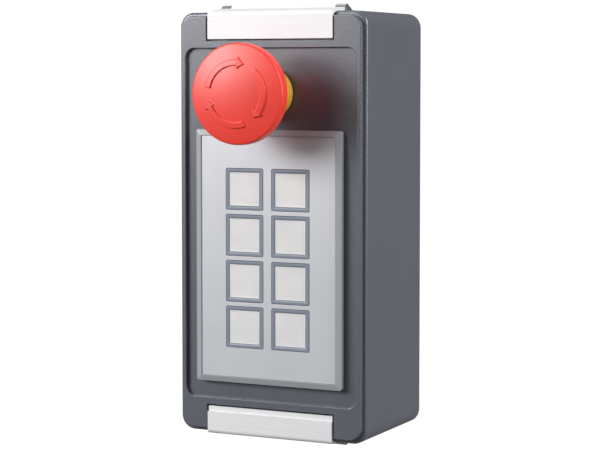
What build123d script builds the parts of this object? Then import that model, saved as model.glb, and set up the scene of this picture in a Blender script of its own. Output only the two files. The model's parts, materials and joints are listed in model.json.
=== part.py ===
from build123d import *
import os

# Wall-mounted operator station: a mushroom stop button and an eight-key panel in a cast enclosure.
# Millimetres. X is to the right, +Z is up, and the rear mounting face lies in the plane Y = 0,
# with the front towards -Y. The origin is the centre of the four wall-mounting holes.
# "Height" below means the distance in front of the rear face.

# ---------------------------------------------------------------- enclosure
body_width = 126.6
body_height = 259.0
base_depth = 68.8            # rear face to the joint between base and lid
lid_depth = 15.2             # joint to the lid's shoulder
body_corner_radius = 9.0
rear_edge_radius = 1.5
side_wall = 3.2
rear_wall = 3.5
end_wall = 5.5               # thicker, because the end covers' channel is cut into it
partition = 3.0              # between the sealed chamber and the screw chamber at each end
screw_chamber = 11.4         # its inside length along Z

shoulder_inset = 2.5
shoulder_radius = 1.9
plateau_rise = 3.3           # plateau above the shoulder
plateau_corner_radius = 8.0
plateau_edge_radius = 0.7
recess_depth = 2.5
recess_side_margin = 5.6
recess_end_margin = 21.9
recess_corner_radius = 6.0
rim_edge_radius = 0.5
lid_plate = 3.2              # lid thickness under the recess

gasket_width = 1.8
gasket_depth = 2.0
gasket_land = 0.7            # chamber edge to gasket groove

# ---------------------------------------------------------------- end covers and their hinges
cover_length = 84.4
cover_gap = 1.1
cover_drop = 16.4            # how far a cover's face reaches down from the body's end
cover_wall = 2.0
cover_round = 2.5
cover_stand_off = 0.6        # cover's leg above the body's end, at its front
cover_leg_rise = 2.0         # how much the leg rises towards the hinge
bottom_face_lift = 1.1       # the lower cover's face stands this much further forward
lip_height = 3.3
lip_set_back = 1.6
notch_floor_drop = 1.6       # notch floor below the recess floor
channel_drop = 2.4           # channel floor below the body's end
channel_end_gap = 1.0
hinge_set_back = 18.7        # hinge axis behind the recess floor
hinge_rise = 1.4             # hinge axis beyond the body's end
hinge_pin_radius = 1.5
hinge_running_gap = 0.06
knuckle_wall = 1.64
knuckle_side_gap = 0.3
knuckle_clearance = 0.25
rail_knuckle_length = 6.4
rail_rear_rise = 1.0
rail_ridge_rise = 3.3
rail_screw_x = 9.0
rail_screw_edge = 2.3        # rail's rear face to the screw's axis
rail_screw_radius = 1.25
rail_screw_head_radius = 2.0
rail_screw_head = 1.6
rail_screw_length = 7.0
rail_boss = 8.0
rail_web = 1.0               # between a rail's knuckle and its slope

# ---------------------------------------------------------------- fasteners
screw_play = 0.05            # between a thread and its hole, as modelled
hole_run_out = 1.0           # a tapped hole is this much deeper than its screw
lid_screw_radius = 2.5
lid_screw_head_radius = 4.2
lid_screw_head = 4.0
lid_screw_socket_radius = 2.3
lid_screw_reach = 14.0       # into the base
lid_screw_x = 23.5
head_play = 0.4
screw_pillar_wall = 2.5
mount_hole_radius = 2.75
mount_access_radius = 5.2
mount_from_cover_end = 6.2
mount_plate = 8.0            # metal under the head of a mounting screw
mount_pillar_wall = 2.0
entry_core_radius = 11.7     # core of an M25 x 1.5 thread
entry_boss_wall = 5.0
entry_height = 34.0
earth_screw_radius = 2.5
earth_screw_length = 7.5
earth_head_radius = 4.25
earth_head = 3.5
earth_boss_radius = 5.0
earth_boss = 6.0
earth_from_corner = 16.0     # chamber's lower right corner to the earth screw
washer_radius = 4.75
washer_thickness = 1.0

# ---------------------------------------------------------------- key panel
panel_width = 98.0
panel_height = 155.0
panel_z = -19.5
panel_corner_radius = 2.3
bezel_side = 4.5
bezel_slope_rise = 1.1
bezel_slope_width = 3.2
bezel_rim = 0.4
foil_thickness = 0.5
foil_set_back = 0.7
foil_gap = 0.1
bezel_plate = 2.9
cutout_margin = 7.0          # panel edge to the lid's cut-out
cutout_gap = 0.5
housing_wall = 2.0
housing_socket = 1.5         # how far the housing enters the bezel
housing_depth = 36.0         # behind the lid's recess floor
rear_cover_thickness = 2.0
panel_gasket_margin = 2.0
panel_gasket_width = 2.5
panel_gasket_depth = 1.5
board_gap = 0.5
board_thickness = 1.6
board_drop = 4.8             # key board's front face below the recess floor
main_board_drop = 21.2
main_board_height = 70.0
main_board_z = 22.0          # its centre above the panel's centre
main_board_inset = 2.8       # narrower than the key board, on each side
spacer_inset = 5.6
vent_slots = 5
vent_pitch = 8.0
vent_width = 2.5
post_radius = 2.8
post_inset = 5.0
board_screw_radius = 1.1
board_screw_head_radius = 2.2
board_screw_head = 1.1
board_screw_length = 6.0
screw_head_room = 2.0        # behind the key board

key_size = 25.0
key_gap_x = 6.06
key_gap_z = 3.16
key_grid_drop = 0.8          # key field's centre below the panel's centre
key_columns = 2
key_rows = 4
key_play = 0.3
key_travel = 0.6
key_proud = 0.1
key_corner_radius = 0.6
key_border = 2.3
window_thickness = 1.5
window_gap = 0.05
window_set_back = 0.1
key_flange = 1.2
key_flange_thickness = 0.9
key_stem_radius = 3.0
key_light_radius = 2.0
key_light_offset = 6.5
switch_size = 10.0
switch_height = 3.0
dome_radius = 2.6
dome_taper = 30.0
led_width = 1.2
led_length = 2.4
led_height = 0.9

clamp_rows = 3
clamp_pitch = 52.0
clamp_width = 8.0
clamp_reach = 7.0
clamp_height = 8.0
clamp_screw_radius = 1.5
clamp_screw_head_radius = 2.6
clamp_screw_head = 1.5
clamp_gap = 4.0              # behind the lid

socket_width = 16.0
socket_height = 13.5
socket_port_width = 11.8
socket_port_height = 7.0
socket_port_depth = 9.0
socket_pitch = 20.0
socket_z = 14.0              # above the main board's centre
terminal_ways = 5
terminal_pitch = 5.0
terminal_height = 8.5
terminal_z = -18.0
terminal_wire_radius = 1.3
terminal_wire_depth = 10.0
terminal_gap = 3.0
connector_proud = 1.2
connector_gap = 0.4

# ---------------------------------------------------------------- mushroom stop button
stop_z = 80.3
stop_hole_radius = 11.15     # standard 22.3 mm panel hole
stop_seal_thickness = 1.0
stop_seal_inset = 0.5
stop_collar_radius = 15.4
stop_collar_front = 7.9      # above the recess floor
stop_collar_floor = 3.0
stop_collar_bore = 13.2
stop_collar_round = 1.2
stop_barrel_gap = 0.15
stop_barrel_flange = 2.2
stop_slide_gap = 0.06
stop_stem_radius = 8.2
stop_travel = 4.0
mushroom_radius = 30.0
mushroom_rear = 37.1         # above the recess floor
mushroom_band = 5.9
mushroom_round = 1.2
mushroom_dome = 3.4
mushroom_lip = 1.8
mushroom_hollow = 3.0
neck_radius = 12.2
neck_wall = 2.0
neck_front_gap = 6.5         # neck's rear end above the barrel's flange at rest
spigot_radius = 6.0
spigot_length = 7.0
spring_wire_radius = 0.6
spring_turns = 5
spring_end_gap = 0.9         # from a seat to the wire's centre
holder_width = 30.0
holder_height = 42.0
holder_depth = 11.0
holder_corner_radius = 2.0
holder_screw_radius = 1.6
holder_screw_z = 17.0
holder_screw_head_radius = 2.88
holder_screw_head = 2.0
holder_screw_end_gap = 2.0

contact_width = 10.0
contact_height = 40.0
contact_depth = 36.0
contact_wall = 1.2
contact_x = 5.2
slider_width = 4.4
slider_height = 6.4
slider_length = 24.0
slider_gap = 0.3
bridge_length = 24.0
bridge_thickness = 1.0
bridge_width = 3.0
bridge_from_front = 17.0
contact_gap = 0.05
fixed_contact_length = 9.0
fixed_contact_thickness = 1.2
fixed_contact_shift = 2.0    # its centre inward of the terminal screw
terminal_screw_radius = 1.5
terminal_head_radius = 2.4
terminal_head = 2.5
terminal_screw_z = 14.6
contact_spring_radius = 1.6
contact_spring_wire = 0.3
contact_spring_turns = 8
contact_spring_end_gap = 0.45

# ---------------------------------------------------------------- worked out from the above
half_height = body_height / 2
shoulder = base_depth + lid_depth
plateau = shoulder + plateau_rise
recess_floor = plateau - recess_depth
lid_inside = recess_floor - lid_plate
notch_floor = recess_floor - notch_floor_drop
chamber_width = body_width - 2 * side_wall
screw_chamber_outer = half_height - end_wall
screw_chamber_inner = screw_chamber_outer - screw_chamber
chamber_height = 2 * (screw_chamber_inner - partition)
chamber_corner = body_corner_radius - side_wall
pillar_z = screw_chamber_outer - screw_chamber / 2
mount_x = cover_length / 2 - mount_from_cover_end
notch_half_width = cover_length / 2 + cover_gap
hinge_height = recess_floor - hinge_set_back
hinge_z = half_height + hinge_rise
knuckle_radius = hinge_pin_radius + hinge_running_gap + knuckle_wall
rail_knuckle_x = (cover_length - rail_knuckle_length) / 2
rail_screw_height = hinge_height - knuckle_radius - rail_screw_head_radius
rail_back = rail_screw_height - rail_screw_edge
rail_floor = half_height - channel_drop
rail_height = channel_drop + rail_ridge_rise
channel_rear = rail_back - channel_end_gap
bezel_rim_height = recess_floor + bezel_side + bezel_slope_rise
foil_front = bezel_rim_height - foil_set_back
foil_rear = foil_front - foil_thickness
plate_rear = foil_rear - bezel_plate
foil_width = panel_width - 2 * (bezel_slope_width + bezel_rim)
foil_height = panel_height - 2 * (bezel_slope_width + bezel_rim)
cutout_width = panel_width - 2 * cutout_margin
cutout_height = panel_height - 2 * cutout_margin
housing_width = cutout_width - 2 * cutout_gap
housing_height = cutout_height - 2 * cutout_gap
housing_rear = recess_floor - housing_depth
board_front = recess_floor - board_drop
board_rear = board_front - board_thickness
board_width = housing_width - 2 * (housing_wall + board_gap)
board_height = housing_height - 2 * (housing_wall + board_gap)
main_board_front = recess_floor - main_board_drop
main_board_rear = main_board_front - board_thickness
post_x = board_width / 2 - post_inset
post_z = board_height / 2 - post_inset
main_board_width = board_width - 2 * main_board_inset
spacer_x = main_board_width / 2 - spacer_inset
spacer_z = main_board_height / 2 - spacer_inset
cover_screw_x = housing_width / 2 - housing_wall - post_radius
cover_screw_z = housing_height / 2 - housing_wall - post_radius
connector_front = main_board_rear
connector_rear = housing_rear - connector_proud
terminal_width = terminal_ways * terminal_pitch
terminal_x = (terminal_width + terminal_gap) / 2
socket_places = [(side * socket_pitch / 2, main_board_z + socket_z) for side in (-1, 1)]
terminal_places = [(side * terminal_x, main_board_z + terminal_z) for side in (-1, 1)]
clamp_x = housing_width / 2 + clamp_reach / 2
clamp_rear = lid_inside - clamp_gap - clamp_height
key_pitch_x = key_size + key_gap_x
key_pitch_z = key_size + key_gap_z
key_front = foil_front + key_proud
key_flange_front = plate_rear - window_gap
key_flange_rear = key_flange_front - key_flange_thickness
switch_front = board_front + switch_height
stem_end = switch_front + key_travel + contact_gap
window_size = key_size - 2 * key_border
window_front = key_front - window_set_back
window_rear = window_front - window_thickness
key_places = [
    ((column - (key_columns - 1) / 2) * key_pitch_x,
     ((key_rows - 1) / 2 - row) * key_pitch_z - key_grid_drop)
    for row in range(key_rows)
    for column in range(key_columns)
]                            # from the panel's centre
collar_rear = recess_floor + stop_seal_thickness
collar_front = recess_floor + stop_collar_front
collar_floor = collar_rear + stop_collar_floor
barrel_radius = stop_hole_radius - stop_barrel_gap
barrel_flange_front = collar_floor + stop_barrel_flange
holder_rear = lid_inside - holder_depth
stem_bore = stop_stem_radius + stop_slide_gap
neck_rear = barrel_flange_front + neck_front_gap
mushroom_back = recess_floor + mushroom_rear
mushroom_edge = mushroom_back + mushroom_band
mushroom_front = mushroom_edge + mushroom_round + mushroom_dome
contact_front = holder_rear
contact_rear = contact_front - contact_depth
bridge_front = contact_front - bridge_from_front
stop_axis = Axis((0, 0, stop_z), (0, 1, 0))
earth_x = chamber_width / 2 - earth_from_corner
earth_z = earth_from_corner - chamber_height / 2

os.makedirs("parts", exist_ok=True)


def front(height, z=0.0):
    """A plane parallel to the rear face, this far in front of it; local x is right, y is up."""
    return Plane(origin=(0, -height, z), x_dir=(1, 0, 0), z_dir=(0, -1, 0))


def save(builder, name):
    builder.part.label = name
    export_step(builder.part, f"parts/{name}.step")


def seal_outline():
    """The ring between the sealed chamber and the lid's outside, for the gasket and its groove."""
    RectangleRounded(
        chamber_width + 2 * (gasket_land + gasket_width),
        chamber_height + 2 * (gasket_land + gasket_width),
        chamber_corner + gasket_land + gasket_width,
    )
    RectangleRounded(
        chamber_width + 2 * gasket_land,
        chamber_height + 2 * gasket_land,
        chamber_corner + gasket_land,
        mode=Mode.SUBTRACT,
    )


def panel_seal_outline():
    """The ring behind the bezel's edge, for its gasket and the groove."""
    outer_margin = panel_gasket_margin + panel_gasket_width
    Rectangle(panel_width - 2 * panel_gasket_margin, panel_height - 2 * panel_gasket_margin)
    Rectangle(panel_width - 2 * outer_margin, panel_height - 2 * outer_margin, mode=Mode.SUBTRACT)


def end_profile(points, mirrored):
    """Points given as (height, z) for the upper end, as (Y, Z), mirrored for the lower end."""
    side = -1 if mirrored else 1
    return [(-height, side * z) for height, z in points]


# ================================================================ enclosure base
with BuildPart() as enclosure_base:
    with BuildSketch(front(0)):
        RectangleRounded(body_width, body_height, body_corner_radius)
    extrude(amount=base_depth)
    fillet(enclosure_base.faces().sort_by(Axis.Y)[-1].edges(), rear_edge_radius)
    with BuildSketch(front(rear_wall)):
        RectangleRounded(chamber_width, chamber_height, chamber_corner)
    extrude(amount=base_depth - rear_wall, mode=Mode.SUBTRACT)
    # a chamber at each end, outside the seal, for the lid screws and the wall screws
    with BuildSketch(front(rear_wall)):
        for end in (-1, 1):
            with Locations((0, end * pillar_z)):
                Rectangle(chamber_width - 2 * chamber_corner, screw_chamber)
    extrude(amount=base_depth - rear_wall, mode=Mode.SUBTRACT)
    with BuildSketch(front(rear_wall)):
        with GridLocations(2 * lid_screw_x, 2 * pillar_z, 2, 2):
            Circle(lid_screw_radius + screw_pillar_wall)
        with GridLocations(2 * mount_x, 2 * pillar_z, 2, 2):
            Circle(mount_access_radius + mount_pillar_wall)
    extrude(amount=base_depth - rear_wall)
    # blocks behind the end walls that take the hinge rails' screws
    with BuildSketch(front(rail_screw_height - rail_boss / 2)):
        for end in (-1, 1):
            with Locations((0, end * (screw_chamber_outer - rail_boss / 2))):
                with GridLocations(2 * rail_screw_x, 0, 2, 1):
                    Rectangle(rail_boss, rail_boss)
    extrude(amount=rail_boss)
    # the cable entry's boss crosses the lower screw chamber
    with BuildSketch(Plane.XY.offset(-half_height)):
        with Locations((0, -entry_height)):
            Circle(entry_core_radius + entry_boss_wall)
    extrude(amount=end_wall + screw_chamber + partition)
    with BuildSketch(Plane.XY.offset(-half_height)):
        with Locations((0, -entry_height)):
            Circle(entry_core_radius)
    extrude(amount=end_wall + screw_chamber + partition, mode=Mode.SUBTRACT)
    with BuildSketch(front(base_depth)):
        with GridLocations(2 * lid_screw_x, 2 * pillar_z, 2, 2):
            Circle(lid_screw_radius + screw_play)
    extrude(amount=-(lid_screw_reach + hole_run_out), mode=Mode.SUBTRACT)
    with BuildSketch(front(0)):
        with GridLocations(2 * mount_x, 2 * pillar_z, 2, 2):
            Circle(mount_hole_radius)
    extrude(amount=base_depth, mode=Mode.SUBTRACT)
    with BuildSketch(front(mount_plate)):
        with GridLocations(2 * mount_x, 2 * pillar_z, 2, 2):
            Circle(mount_access_radius)
    extrude(amount=base_depth - mount_plate, mode=Mode.SUBTRACT)
    # channel across each end for the cover's leg and its hinge
    with BuildSketch(front(channel_rear)):
        for end in (-1, 1):
            with Locations((0, end * half_height)):
                Rectangle(2 * notch_half_width, 2 * channel_drop)
    extrude(amount=base_depth - channel_rear, mode=Mode.SUBTRACT)
    for end in (-1, 1):
        with BuildSketch(Plane.XY.offset(end * (half_height - channel_drop))):
            with Locations((0, -rail_screw_height)):
                with GridLocations(2 * rail_screw_x, 0, 2, 1):
                    Circle(rail_screw_radius + screw_play)
        extrude(amount=-end * (rail_screw_length + hole_run_out), mode=Mode.SUBTRACT)
    # earth screw's boss on the chamber's rear wall
    with BuildSketch(front(rear_wall)):
        with Locations((earth_x, earth_z)):
            Circle(earth_boss_radius)
    extrude(amount=earth_boss)
    with BuildSketch(front(rear_wall + earth_boss)):
        with Locations((earth_x, earth_z)):
            Circle(earth_screw_radius + screw_play)
    extrude(amount=-(earth_screw_length + hole_run_out), mode=Mode.SUBTRACT)
save(enclosure_base, "enclosure_base")

# ================================================================ enclosure lid
with BuildPart() as enclosure_lid:
    with BuildSketch(front(base_depth)):
        RectangleRounded(body_width, body_height, body_corner_radius)
    extrude(amount=lid_depth)
    fillet(enclosure_lid.faces().sort_by(Axis.Y)[0].edges(), shoulder_radius)
    with BuildSketch(front(shoulder)):
        RectangleRounded(
            body_width - 2 * shoulder_inset,
            body_height - 2 * shoulder_inset,
            plateau_corner_radius,
        )
    extrude(amount=plateau_rise)
    fillet(enclosure_lid.faces().sort_by(Axis.Y)[0].edges(), plateau_edge_radius)
    with BuildSketch(front(recess_floor)):
        RectangleRounded(
            body_width - 2 * recess_side_margin,
            body_height - 2 * recess_end_margin,
            recess_corner_radius,
        )
    extrude(amount=recess_depth, mode=Mode.SUBTRACT)
    rim = enclosure_lid.faces().sort_by(Axis.Y)[0].inner_wires()[0].edges()
    fillet(rim, rim_edge_radius)
    # sealed chamber, and the hollow over each screw chamber with its pillars
    with BuildSketch(front(base_depth)):
        RectangleRounded(chamber_width, chamber_height, chamber_corner)
        for end in (-1, 1):
            with Locations((0, end * pillar_z)):
                Rectangle(2 * notch_half_width, screw_chamber)
        with GridLocations(2 * lid_screw_x, 2 * pillar_z, 2, 2):
            Circle(lid_screw_head_radius + head_play + screw_pillar_wall, mode=Mode.SUBTRACT)
        with GridLocations(2 * mount_x, 2 * pillar_z, 2, 2):
            Circle(mount_access_radius + mount_pillar_wall, mode=Mode.SUBTRACT)
    extrude(amount=lid_inside - base_depth, mode=Mode.SUBTRACT)
    with BuildSketch(front(base_depth)):
        seal_outline()
    extrude(amount=gasket_depth, mode=Mode.SUBTRACT)
    # a notch at each end for the cover: through the front, and a channel over the end
    with BuildSketch(front(notch_floor)):
        for end in (-1, 1):
            with Locations((0, end * half_height)):
                Rectangle(2 * notch_half_width, 2 * (cover_drop + cover_gap))
    extrude(amount=plateau - notch_floor, mode=Mode.SUBTRACT)
    with BuildSketch(front(base_depth)):
        for end in (-1, 1):
            with Locations((0, end * half_height)):
                Rectangle(2 * notch_half_width, 2 * channel_drop)
    extrude(amount=plateau - base_depth, mode=Mode.SUBTRACT)
    with BuildSketch(front(base_depth)):
        with GridLocations(2 * lid_screw_x, 2 * pillar_z, 2, 2):
            Circle(lid_screw_radius + head_play)
        with GridLocations(2 * mount_x, 2 * pillar_z, 2, 2):
            Circle(mount_access_radius)
    extrude(amount=plateau - base_depth, mode=Mode.SUBTRACT)
    with BuildSketch(front(notch_floor - lid_screw_head)):
        with GridLocations(2 * lid_screw_x, 2 * pillar_z, 2, 2):
            Circle(lid_screw_head_radius + head_play)
    extrude(amount=lid_screw_head, mode=Mode.SUBTRACT)
    # openings for the key panel and the stop button
    with BuildSketch(front(lid_inside)):
        with Locations((0, panel_z)):
            Rectangle(cutout_width, cutout_height)
        with Locations((0, stop_z)):
            Circle(stop_hole_radius)
    extrude(amount=lid_plate, mode=Mode.SUBTRACT)
save(enclosure_lid, "enclosure_lid")

with BuildPart() as lid_gasket:
    with BuildSketch(front(base_depth)):
        seal_outline()
    extrude(amount=gasket_depth)
save(lid_gasket, "lid_gasket")

with BuildPart() as lid_screws:
    with BuildSketch(front(notch_floor - lid_screw_head)):
        with GridLocations(2 * lid_screw_x, 2 * pillar_z, 2, 2):
            Circle(lid_screw_head_radius)
    extrude(amount=lid_screw_head - head_play)
    with BuildSketch(front(base_depth - lid_screw_reach)):
        with GridLocations(2 * lid_screw_x, 2 * pillar_z, 2, 2):
            Circle(lid_screw_radius)
    extrude(amount=notch_floor - lid_screw_head - base_depth + lid_screw_reach)
    with BuildSketch(front(notch_floor - head_play - lid_screw_head / 2)):
        with GridLocations(2 * lid_screw_x, 2 * pillar_z, 2, 2):
            RegularPolygon(lid_screw_socket_radius, 6)
    extrude(amount=lid_screw_head, mode=Mode.SUBTRACT)
save(lid_screws, "lid_screws")

with BuildPart() as earth_screw:
    with BuildSketch(front(rear_wall + earth_boss)):
        with Locations((earth_x, earth_z)):
            Circle(washer_radius)
    extrude(amount=washer_thickness)
    with BuildSketch(front(rear_wall + earth_boss + washer_thickness)):
        with Locations((earth_x, earth_z)):
            RegularPolygon(earth_head_radius, 6)
    extrude(amount=earth_head)
    with BuildSketch(front(rear_wall + earth_boss)):
        with Locations((earth_x, earth_z)):
            Circle(earth_screw_radius)
    extrude(amount=-earth_screw_length)
save(earth_screw, "earth_screw")

# ================================================================ end covers
for name, end in (("top", 1), ("bottom", -1)):
    lift = bottom_face_lift if end < 0 else 0.0
    face = plateau + lift
    face_end = half_height - cover_drop
    leg_front = half_height + cover_stand_off
    leg_rear = leg_front + cover_leg_rise
    leg_stop = hinge_height + knuckle_radius
    with BuildPart() as end_cover:
        with BuildSketch(Plane.YZ):
            with BuildLine():
                outer = end_profile(
                    [
                        (face, face_end + (lip_height if lift else 0)),
                        (face, leg_front - cover_round),
                        (face - cover_round, leg_front),
                        (leg_stop, leg_rear),
                        (hinge_height, hinge_z + knuckle_radius),
                    ],
                    end < 0,
                )
                inner = end_profile(
                    [
                        (hinge_height, hinge_z),
                        (leg_stop, leg_rear - cover_wall),
                        (face - cover_round, leg_front - cover_wall),
                        (plateau - cover_wall, leg_front - cover_round),
                        (plateau - cover_wall, face_end),
                    ],
                    end < 0,
                )
                RadiusArc(outer[1], outer[2], end * cover_round)
                Polyline(*outer[2:], *inner)
                if lift:
                    lip = end_profile(
                        [(face - lip_set_back, face_end),
                         (face - lip_set_back, face_end + lip_height)],
                        True,
                    )
                    Polyline(inner[-1], *lip, outer[0], outer[1])
                else:
                    Polyline(inner[-1], outer[0], outer[1])
            make_face()
            with Locations((-hinge_height, end * hinge_z)):
                Circle(knuckle_radius)
        extrude(amount=cover_length / 2, both=True)
        # room for the rail's knuckles
        for side in (-1, 1):
            with BuildSketch(Plane.YZ.offset(side * rail_knuckle_x)):
                with Locations((-hinge_height, end * hinge_z)):
                    Circle(knuckle_radius + knuckle_clearance)
            room = rail_knuckle_length / 2 + knuckle_side_gap
            extrude(amount=room, both=True, mode=Mode.SUBTRACT)
        with BuildSketch(Plane.YZ):
            with Locations((-hinge_height, end * hinge_z)):
                Circle(hinge_pin_radius + hinge_running_gap)
        extrude(amount=cover_length / 2, both=True, mode=Mode.SUBTRACT)
    save(end_cover, f"{name}_end_cover")

    with BuildPart() as hinge_rail:
        with BuildSketch(Plane.YZ):
            with BuildLine():
                Polyline(
                    *end_profile(
                        [
                            (rail_back, rail_floor),
                            (rail_back, half_height + rail_rear_rise),
                            (hinge_height - knuckle_radius, half_height + rail_ridge_rise),
                            (hinge_height, rail_floor),
                        ],
                        end < 0,
                    ),
                    close=True,
                )
            make_face()
            with Locations((-hinge_height, end * hinge_z)):
                Circle(knuckle_radius + knuckle_clearance, mode=Mode.SUBTRACT)
        extrude(amount=cover_length / 2, both=True)
        for side in (-1, 1):
            with BuildSketch(Plane.YZ.offset(side * rail_knuckle_x)):
                with Locations((-hinge_height, end * hinge_z)):
                    Circle(knuckle_radius)
                with BuildLine():
                    Polyline(
                        *end_profile(
                            [
                                (hinge_height - knuckle_radius - rail_web, rail_floor),
                                (hinge_height - knuckle_radius - rail_web, hinge_z - rail_web),
                                (hinge_height, hinge_z),
                                (hinge_height + knuckle_radius / 2, rail_floor),
                            ],
                            end < 0,
                        ),
                        close=True,
                    )
                make_face()
            extrude(amount=rail_knuckle_length / 2, both=True)
        with BuildSketch(Plane.YZ):
            with Locations((-hinge_height, end * hinge_z)):
                Circle(hinge_pin_radius + hinge_running_gap / 2)
        extrude(amount=cover_length / 2, both=True, mode=Mode.SUBTRACT)
        with BuildSketch(Plane.XY.offset(end * rail_floor)):
            with Locations((0, -rail_screw_height)):
                with GridLocations(2 * rail_screw_x, 0, 2, 1):
                    Circle(rail_screw_radius + screw_play)
        extrude(amount=end * rail_height, mode=Mode.SUBTRACT)
        with BuildSketch(Plane.XY.offset(end * (rail_floor + rail_screw_head))):
            with Locations((0, -rail_screw_height)):
                with GridLocations(2 * rail_screw_x, 0, 2, 1):
                    Circle(rail_screw_head_radius + screw_play)
        extrude(amount=end * rail_height, mode=Mode.SUBTRACT)
    save(hinge_rail, f"{name}_hinge_rail")

with BuildPart() as hinge_pins:
    for end in (-1, 1):
        with BuildSketch(Plane.YZ.offset(-cover_length / 2)):
            with Locations((-hinge_height, end * hinge_z)):
                Circle(hinge_pin_radius)
        extrude(amount=cover_length)
save(hinge_pins, "hinge_pins")

with BuildPart() as rail_screws:
    for end in (-1, 1):
        seat = rail_floor + rail_screw_head
        with BuildSketch(Plane.XY.offset(end * seat)):
            with Locations((0, -rail_screw_height)):
                with GridLocations(2 * rail_screw_x, 0, 2, 1):
                    Circle(rail_screw_head_radius)
        extrude(amount=end * rail_screw_head)
        with BuildSketch(Plane.XY.offset(end * seat)):
            with Locations((0, -rail_screw_height)):
                with GridLocations(2 * rail_screw_x, 0, 2, 1):
                    Circle(rail_screw_radius)
        extrude(amount=-end * rail_screw_length)
save(rail_screws, "rail_screws")

# ================================================================ key panel
with BuildPart() as panel_bezel:
    with BuildSketch(front(recess_floor, panel_z)):
        RectangleRounded(panel_width, panel_height, panel_corner_radius)
    extrude(amount=bezel_side)
    with BuildSketch(front(recess_floor + bezel_side, panel_z)):
        RectangleRounded(panel_width, panel_height, panel_corner_radius)
    with BuildSketch(front(bezel_rim_height, panel_z)):
        RectangleRounded(
            panel_width - 2 * bezel_slope_width,
            panel_height - 2 * bezel_slope_width,
            panel_corner_radius / 2,
        )
    loft(ruled=True)
    with BuildSketch(front(foil_rear, panel_z)):
        RectangleRounded(foil_width, foil_height, panel_corner_radius / 2)
    extrude(amount=bezel_rim_height - foil_rear, mode=Mode.SUBTRACT)
    # hollow behind the plate, with a wider socket for the housing and a groove for the gasket
    with BuildSketch(front(recess_floor, panel_z)):
        Rectangle(housing_width - 2 * housing_wall, housing_height - 2 * housing_wall)
    extrude(amount=plate_rear - recess_floor, mode=Mode.SUBTRACT)
    with BuildSketch(front(recess_floor, panel_z)):
        Rectangle(housing_width, housing_height)
    extrude(amount=housing_socket, mode=Mode.SUBTRACT)
    with BuildSketch(front(recess_floor, panel_z)):
        panel_seal_outline()
    extrude(amount=panel_gasket_depth, mode=Mode.SUBTRACT)
    # posts for the key board
    with BuildSketch(front(board_front, panel_z)):
        with GridLocations(2 * post_x, 2 * post_z, 2, 2):
            Circle(post_radius)
            Circle(board_screw_radius + screw_play, mode=Mode.SUBTRACT)
    extrude(amount=plate_rear - board_front)
    with BuildSketch(front(plate_rear, panel_z)):
        with Locations(*key_places):
            Rectangle(key_size + 2 * key_play, key_size + 2 * key_play)
    extrude(amount=bezel_plate, mode=Mode.SUBTRACT)
save(panel_bezel, "panel_bezel")

with BuildPart() as panel_foil:
    with BuildSketch(front(foil_rear, panel_z)):
        RectangleRounded(
            foil_width - 2 * foil_gap, foil_height - 2 * foil_gap, panel_corner_radius / 2
        )
        with Locations(*key_places):
            RectangleRounded(
                key_size + 2 * key_play,
                key_size + 2 * key_play,
                key_corner_radius + key_play,
                mode=Mode.SUBTRACT,
            )
    extrude(amount=foil_thickness)
save(panel_foil, "panel_foil")

with BuildPart() as panel_gasket:
    with BuildSketch(front(recess_floor, panel_z)):
        panel_seal_outline()
    extrude(amount=panel_gasket_depth)
save(panel_gasket, "panel_gasket")

with BuildPart() as panel_housing:
    with BuildSketch(front(housing_rear + rear_cover_thickness, panel_z)):
        Rectangle(housing_width, housing_height)
        Rectangle(
            housing_width - 2 * housing_wall, housing_height - 2 * housing_wall,
            mode=Mode.SUBTRACT,
        )
    extrude(amount=recess_floor + housing_socket - housing_rear - rear_cover_thickness)
    # corner pillars for the rear cover's screws
    with BuildSketch(front(housing_rear + rear_cover_thickness, panel_z)):
        with GridLocations(2 * cover_screw_x, 2 * cover_screw_z, 2, 2):
            Rectangle(2 * post_radius, 2 * post_radius)
            Circle(board_screw_radius + screw_play, mode=Mode.SUBTRACT)
    extrude(amount=board_rear - screw_head_room - housing_rear - rear_cover_thickness)
save(panel_housing, "panel_housing")

with BuildPart() as panel_rear_cover:
    with BuildSketch(front(housing_rear, panel_z)):
        Rectangle(housing_width, housing_height)
        with GridLocations(2 * cover_screw_x, 2 * cover_screw_z, 2, 2):
            Circle(board_screw_radius + screw_play, mode=Mode.SUBTRACT)
        with Locations(*socket_places):
            Rectangle(
                socket_width + 2 * connector_gap,
                socket_height + 2 * connector_gap,
                mode=Mode.SUBTRACT,
            )
        with Locations(*terminal_places):
            Rectangle(
                terminal_width + 2 * connector_gap,
                terminal_height + 2 * connector_gap,
                mode=Mode.SUBTRACT,
            )
        # ventilation slots in the lower half
        with Locations((0, -main_board_z)):
            with GridLocations(0, vent_pitch, 1, vent_slots):
                SlotOverall(housing_width / 2, vent_width, mode=Mode.SUBTRACT)
    extrude(amount=rear_cover_thickness)
save(panel_rear_cover, "panel_rear_cover")

with BuildPart() as rear_cover_screws:
    with BuildSketch(front(housing_rear, panel_z)):
        with GridLocations(2 * cover_screw_x, 2 * cover_screw_z, 2, 2):
            Circle(board_screw_head_radius)
    extrude(amount=-board_screw_head)
    with BuildSketch(front(housing_rear, panel_z)):
        with GridLocations(2 * cover_screw_x, 2 * cover_screw_z, 2, 2):
            Circle(board_screw_radius)
    extrude(amount=board_screw_length)
save(rear_cover_screws, "rear_cover_screws")

with BuildPart() as key_board:
    with BuildSketch(front(board_rear, panel_z)):
        Rectangle(board_width, board_height)
        with GridLocations(2 * post_x, 2 * post_z, 2, 2):
            Circle(board_screw_radius + screw_play, mode=Mode.SUBTRACT)
    extrude(amount=board_thickness)
save(key_board, "key_board")

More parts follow.
